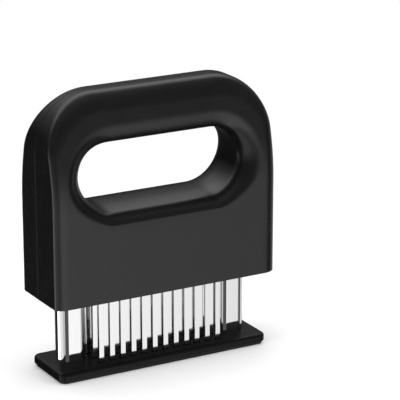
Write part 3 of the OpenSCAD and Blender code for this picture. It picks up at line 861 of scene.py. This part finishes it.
# %% The nodes of a material or of the world
class Graph:
    def __init__(self, owner):
        owner.use_nodes = True
        self.tree = owner.node_tree
        self.tree.nodes.clear()

    def feed(self, node, values):
        for key, value in values.items():
            if isinstance(value, Value):
                self.tree.links.new(value.socket, node.inputs[key])
            else:
                node.inputs[key].default_value = value

    def node(self, kind, settings=None, values=None, out=0):
        """Adds a node, sets it first, then gives its sockets values or links."""
        node = self.tree.nodes.new(kind)
        for key, value in (settings or {}).items():
            if key == "stops":
                ramp = node.color_ramp
                while len(ramp.elements) < len(value):
                    ramp.elements.new(0.5)
                for element, (position, colour) in zip(ramp.elements, value):
                    element.position, element.color = position, colour
            else:
                setattr(node, key, value)
        self.feed(node, values or {})
        return None if out is None else Value(self, node.outputs[out])

    def maths(self, operation, *values):
        return self.node("ShaderNodeMath", {"operation": operation}, dict(enumerate(values)))

    def ramp(self, value, low, high, start=0.0, end=1.0):
        """Maps the value from low..high to start..end, clamped."""
        return self.node("ShaderNodeMapRange", None, {
            "Value": value, "From Min": low, "From Max": high, "To Min": start, "To Max": end})

    def mix(self, share, a, b, blend="MIX"):
        """Mixes two colours. The sockets 0, 6 and 7 are the factor and the colours."""
        return self.node("ShaderNodeMix", {"data_type": "RGBA", "blend_type": blend},
                         {0: share, 6: a, 7: b}, out=2)


# %% A material with one Principled shader
class Finish(Graph):
    def __init__(self, name, **constants):
        self.material = bpy.data.materials.new(name)
        super().__init__(self.material)
        surface = self.node("ShaderNodeBsdfPrincipled")
        self.shader = surface.socket.node
        self.node("ShaderNodeOutputMaterial", None, {"Surface": surface}, out=None)
        self.paint(**constants)
        self.place = self.node("ShaderNodeTexCoord", out="Object")

    def stretched(self, x, y, z):
        return self.node("ShaderNodeMapping", None, {"Vector": self.place, "Scale": (x, y, z)})

    def noise(self, scale, detail=2.0, roughness=0.5, vector=None):
        return self.node("ShaderNodeTexNoise", None, {
            "Vector": vector or self.place, "Scale": scale, "Detail": detail, "Roughness": roughness})

    def bump(self, height, strength, distance):
        return self.node("ShaderNodeBump", None, {
            "Height": height, "Strength": strength, "Distance": distance})

    def paint(self, **values):
        """Sets or links the shader's sockets: Base_Color is the socket Base Color."""
        self.feed(self.shader, {key.replace("_", " "): value for key, value in values.items()})
        return self.material


def grey(value, tint=(0, 0, 0)):
    return (value + tint[0], value + tint[1], value + tint[2], 1)


# %% [markdown]
# ## Black plastic
# A moulded black part isn't one flat black. A spark-eroded mould leaves a fine grain, the
# flow of the melt leaves broad faint clouds, and dust shows as a few pale specks. A
# single noise could do for all three, but they differ in size, so each has its own: the
# clouds vary colour and roughness, the grain bends the surface with Bump, and the specks
# only lighten the colour. The plate has less grain than the shells. It and the cover
# mirror less than the shells do, which a lower index of refraction gives.

# %% Moulded black plastic
GRAIN_SCALE, SPECK_SCALE, CLOUD_SCALE = 1500, 2600, 45


def moulded_black(name, tone, rough, grain, ior=1.46):
    f = Finish(name, IOR=ior)
    clouds = f.noise(CLOUD_SCALE, 3, 0.6)
    fine = f.noise(GRAIN_SCALE, 3, 0.55)
    specks = f.ramp(f.noise(SPECK_SCALE, 1), 0.68, 0.78)
    colour = f.mix(f.ramp(clouds, 0.3, 0.7), grey(tone), grey(tone * 1.35, (0, 0, tone * 0.06)))
    colour = f.mix(specks * 0.12, colour, grey(tone * 3))
    roughness = rough - 0.03 + 0.08 * clouds + 0.06 * (fine - 0.5)
    return f.paint(Base_Color=colour, Roughness=roughness, Normal=f.bump(fine, grain, 0.00004))


shell_black = moulded_black("shell_black", 0.005, 0.25, 0.35)
base_black = moulded_black("base_black", 0.004, 0.28, 0.12, 1.24)
cover_black = moulded_black("cover_black", 0.006, 0.4, 0.3, 1.3)
inner_black = moulded_black("inner_black", 0.014, 0.45, 0.3)
lock_grey = moulded_black("lock_grey", 0.06, 0.42, 0.3)
print("black mouldings:", [m.name for m in (shell_black, base_black, cover_black, inner_black, lock_grey)])

# %% [markdown]
# ## Steel
# Tubes are drawn through a die, which leaves fine lines along them, and blades are ground,
# which leaves lines across. An anisotropic shader would stretch the highlights, but it
# needs a tangent, and the lines themselves would be missing. A noise that is squeezed
# unevenly draws the lines, and feeds colour, roughness and Bump alike. Wire and screws
# are squeezed evenly, as their marks have no direction.

# %% Steel of the posts, blades, springs and screws
def drawn_steel(name, tone, rough, lines, streak):
    """lines is how far the marks are squeezed along X, Y and Z."""
    f = Finish(name, Metallic=1.0)
    marks = f.noise(1.0, 3, 0.6, f.stretched(*lines))
    haze = f.noise(60, 2)
    colour = f.mix(marks, grey(tone * 0.9), grey(tone, (0, 0, 0.006)))
    roughness = rough + streak * (marks - 0.5) + 0.05 * (haze - 0.5)
    return f.paint(Base_Color=colour, Roughness=roughness, Normal=f.bump(marks, 0.12, 0.00002))


post_steel = drawn_steel("post_steel", 0.84, 0.06, (2600, 2600, 30), 0.04)
blade_steel = drawn_steel("blade_steel", 0.84, 0.1, (60, 900, 4200), 0.08)
spring_steel = drawn_steel("spring_steel", 0.6, 0.25, (900, 900, 900), 0.1)
screw_steel = drawn_steel("screw_steel", 0.62, 0.28, (1400, 1400, 1400), 0.12)
print("steels:", [m.name for m in (post_steel, blade_steel, spring_steel, screw_steel)])


# %% [markdown]
# ## Nylon
# The bushes that run on the posts and the seats above the springs are milky nylon. Light
# goes a little way into it, which subsurface scattering would show. These pieces lie
# inside the housing, so a pale colour with faint warm clouds and a soft gloss will do.

# %% Milky nylon of the bushes and spring seats
def milky_nylon():
    f = Finish("nylon", IOR=1.53)
    clouds = f.noise(90, 2)
    colour = f.mix(clouds, (0.7, 0.69, 0.65, 1), (0.78, 0.77, 0.74, 1))
    return f.paint(Base_Color=colour, Roughness=0.42 + 0.1 * (clouds - 0.5),
                   Normal=f.bump(f.noise(900, 2), 0.15, 0.00003))


nylon = milky_nylon()
print("finish:", nylon.name)

# %% [markdown]
# ## One finish for each piece
# Each real piece is of one material all over. Materials could be given face by face, but
# one slot on each piece says the same, and is easy to change later.

# %% Give every piece its finish
CAD_PIECES = {
    cover_black: ["base_cover"],
    inner_black: ["housing_floor", "blade_holder", "blade_clamp", "post_foot_left", "post_foot_right"],
    nylon: ["guide_bush_left", "guide_bush_right", "spring_seat_left", "spring_seat_right"],
    post_steel: ["post_left", "post_right", "post_collar_left", "post_collar_right", "collar_rivets"],
    blade_steel: ["blade_row_front", "blade_row_mid_front", "blade_row_mid_rear", "blade_row_rear"],
    screw_steel: ["clamp_screws"],
}
NEW_PIECES = {
    shell_black: list(shells.values()),
    base_black: [plate],
    lock_grey: [slide],
    spring_steel: [bpy.data.objects[node + "_coil"] for node in ("spring_left", "spring_right")],
    screw_steel: screws,
}


def dress(piece, material):
    piece.data.materials.clear()
    piece.data.materials.append(material)


for material, names in CAD_PIECES.items():
    for name in names:
        dress(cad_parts[name], material)
for material, pieces in NEW_PIECES.items():
    for piece in pieces:
        dress(piece, material)
print(sum(map(len, (*CAD_PIECES.values(), *NEW_PIECES.values()))), "pieces have their finish")

# %% [markdown]
# ## Floor
# The object stands on a white ground whose edge is never seen, with a soft shadow under
# the plate. A lit white floor alone would turn grey away from the lamps. So it is lit near
# the object, where it keeps the shadow, and only glows further out, where it joins the
# white behind it. It takes no part in reflections, which the painted studio below gives.

# %% Pale floor
FLOOR_Z = -0.0002  # just below the plate, so that the two don't lie in one plane
GLOW_NEAR, GLOW_FROM, GLOW_FULL = 0.2, 0.12, 0.5
floor = begin("floor", bpy.ops.mesh.primitive_plane_add, size=12, location=(0, 0, FLOOR_Z))
floor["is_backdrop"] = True
floor.visible_glossy = False
white = Graph(bpy.data.materials.new("floor_white"))
lit = white.node("ShaderNodeBsdfDiffuse", None, {"Color": grey(0.9)})
glow = white.node("ShaderNodeEmission", None, {"Color": grey(1), "Strength": 1.0})
seen = white.node("ShaderNodeLightPath", out="Is Camera Ray")
spot = white.node("ShaderNodeTexCoord", out="Object")
far = white.node("ShaderNodeVectorMath", {"operation": "LENGTH"}, {0: spot}, out=1)
share = seen * white.ramp(far, GLOW_FROM, GLOW_FULL, GLOW_NEAR, 1.0)
both = white.node("ShaderNodeMixShader", None, {0: share, 1: lit, 2: glow})
white.node("ShaderNodeOutputMaterial", None, {"Surface": both}, out=None)
dress(floor, bpy.data.materials["floor_white"])
print("floor lies", FLOOR_Z / MM, "mm high")

# %% [markdown]
# ## Studio
# Glossy black and bright steel show mostly what surrounds them. A real studio has white
# walls, black cards and a dark ceiling, and many planes could be built for them. Here one
# world stands for them all: for reflected rays it is painted with ramps. The lower half
# changes with the direction around the object, pale in front, with a bright card at the
# left that draws the line down the housing's edge. The upper half is dim in front and
# bright high up at the back, which lights the grip bar's rounding. Diffuse light comes
# from an even grey, and the camera sees white.

# %% Brightness around the object and up the walls
# Degrees are 0 in front and 90 at the left. Heights are the sine of the ray's rise.
AROUND_LOW = [(-180, 0.05), (-148, 0.08), (-128, 0.5), (-110, 0.95), (-84, 0.85), (-74, 0.12), (-46, 0.1),
              (-40, 1.0), (-31, 1.06), (-24, 1.45), (6, 1.8), (20, 0.75), (40, 0.65), (52, 1.05),
              (82, 1.1), (94, 2.9), (112, 2.9), (119, 0.02), (180, 0.04)]
RISE_LOW = [(-1.0, 0.85), (-0.28, 0.88), (-0.15, 0.68), (-0.05, 0.42), (0.1, 0.34), (0.25, 0.12),
            (1.0, 0.12)]
RISE_FRONT = [(0.0, 0.1), (0.5, 0.1), (0.75, 0.12), (1.0, 0.3)]
RISE_BACK = [(0.0, 0.12), (0.2, 0.15), (0.35, 0.2), (0.48, 0.5), (0.6, 1.1), (0.72, 1.9),
             (0.9, 1.9), (1.0, 1.0)]
EVEN_GREY = 0.45
print("brightest at", max(AROUND_LOW, key=lambda stop: stop[1])[0], "degrees, to the left")

# %% Paint the world
world = bpy.data.worlds.new("studio")
bpy.context.scene.world = world
sky = Graph(world)


def parts_of(node, *names):
    """Several outputs of the node that a value comes from."""
    return [Value(sky, node.socket.node.outputs[name]) for name in names]


def sky_ramp(value, stops):
    return sky.node("ShaderNodeValToRGB", {"stops": [(at, grey(v)) for at, v in stops]}, {0: value})


def by_height(z, rise):
    return sky_ramp(z * 0.5 + 0.5, [(h / 2 + 0.5, v) for h, v in rise])


way = sky.node("ShaderNodeTexCoord", out="Generated")
x, y, z = parts_of(sky.node("ShaderNodeSeparateXYZ", None, {0: way}), 0, 1, 2)
turn = sky.maths("ARCTAN2", 0 - x, 0 - y) * (0.5 / math.pi) + 0.5
around = sky_ramp(turn, [(a / 360 + 0.5, v) for a, v in AROUND_LOW])
low_part = sky.mix(1.0, around, by_height(z, RISE_LOW), "MULTIPLY")
high_part = sky.mix(sky.ramp(y, 0.05, 0.3), by_height(z, RISE_FRONT), by_height(z, RISE_BACK))
reflected = sky.mix(sky.ramp(z, 0.05, 0.25), low_part, high_part)
direct, glossy = parts_of(sky.node("ShaderNodeLightPath"), "Is Camera Ray", "Is Glossy Ray")
colour = sky.mix(direct, sky.mix(glossy, grey(EVEN_GREY), reflected), grey(1))
light = sky.node("ShaderNodeBackground", None, {"Color": colour})
sky.node("ShaderNodeOutputWorld", None, {"Surface": light}, out=None)
print("the world has", len(sky.tree.nodes), "nodes")

# %% [markdown]
# ## Lamps and dark strips
# Three large soft boxes light the floor and the plastic, and give the soft shadow. They
# don't show in reflections, because the painted world already does that. A bright tube
# looks flat when all around it is pale, so a photographer sets a narrow dark card beside
# it. Two such strips stand close in front of the posts, where only reflections see them,
# and draw the grey line down each tube.

# %% Soft boxes
def soft_box(name, at, size, power):
    settle()
    bpy.ops.object.light_add(type="AREA", location=at)
    lamp = bpy.context.object
    lamp.name = name
    lamp.data.shape = "RECTANGLE"
    lamp.data.size, lamp.data.size_y = size
    lamp.data.energy = power
    lamp.rotation_euler = (Vector((0, 0, 0.1)) - Vector(at)).to_track_quat("-Z", "Y").to_euler()
    lamp.visible_glossy = False
    print(name, power, "W")


soft_box("top_box", (0, 0.1, 1.2), (1.0, 0.8), 12)
soft_box("left_box", (-1.1, -0.5, 0.6), (0.4, 0.9), 3.5)
soft_box("right_box", (0.9, -0.9, 0.7), (0.8, 0.8), 8)

# %% Dark strips, in mm
STRIP_SIDE, STRIP_Y, STRIP_Z = -5.1, -8.5, 26.3  # from the post's axis, depth, height
STRIP_W, STRIP_H, STRIP_GLOW = 4.4, 39.4, 0.1
card = Graph(bpy.data.materials.new("strip_dark"))
faint = card.node("ShaderNodeEmission", None, {"Color": grey(1), "Strength": STRIP_GLOW})
card.node("ShaderNodeOutputMaterial", None, {"Surface": faint}, out=None)
for side in (-1, 1):
    strip = begin("dark_strip", bpy.ops.mesh.primitive_plane_add, size=MM, rotation=(math.pi / 2, 0, 0),
                  location=((side * POST_X + STRIP_SIDE) * MM, STRIP_Y * MM, STRIP_Z * MM))
    strip.scale = (STRIP_W, STRIP_H, 1)
    place_in_mesh(strip)
    strip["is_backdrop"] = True
    strip.visible_camera = strip.visible_diffuse = strip.visible_shadow = False
    dress(strip, bpy.data.materials["strip_dark"])
    print(strip.name, "at x", round(side * POST_X + STRIP_SIDE, 1), "mm")

# %% Finish
bpy.context.scene.view_settings.view_transform = "Standard"
low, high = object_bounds()
print("visual box in mm:", [round(v / MM, 2) for v in (*low, *high)])
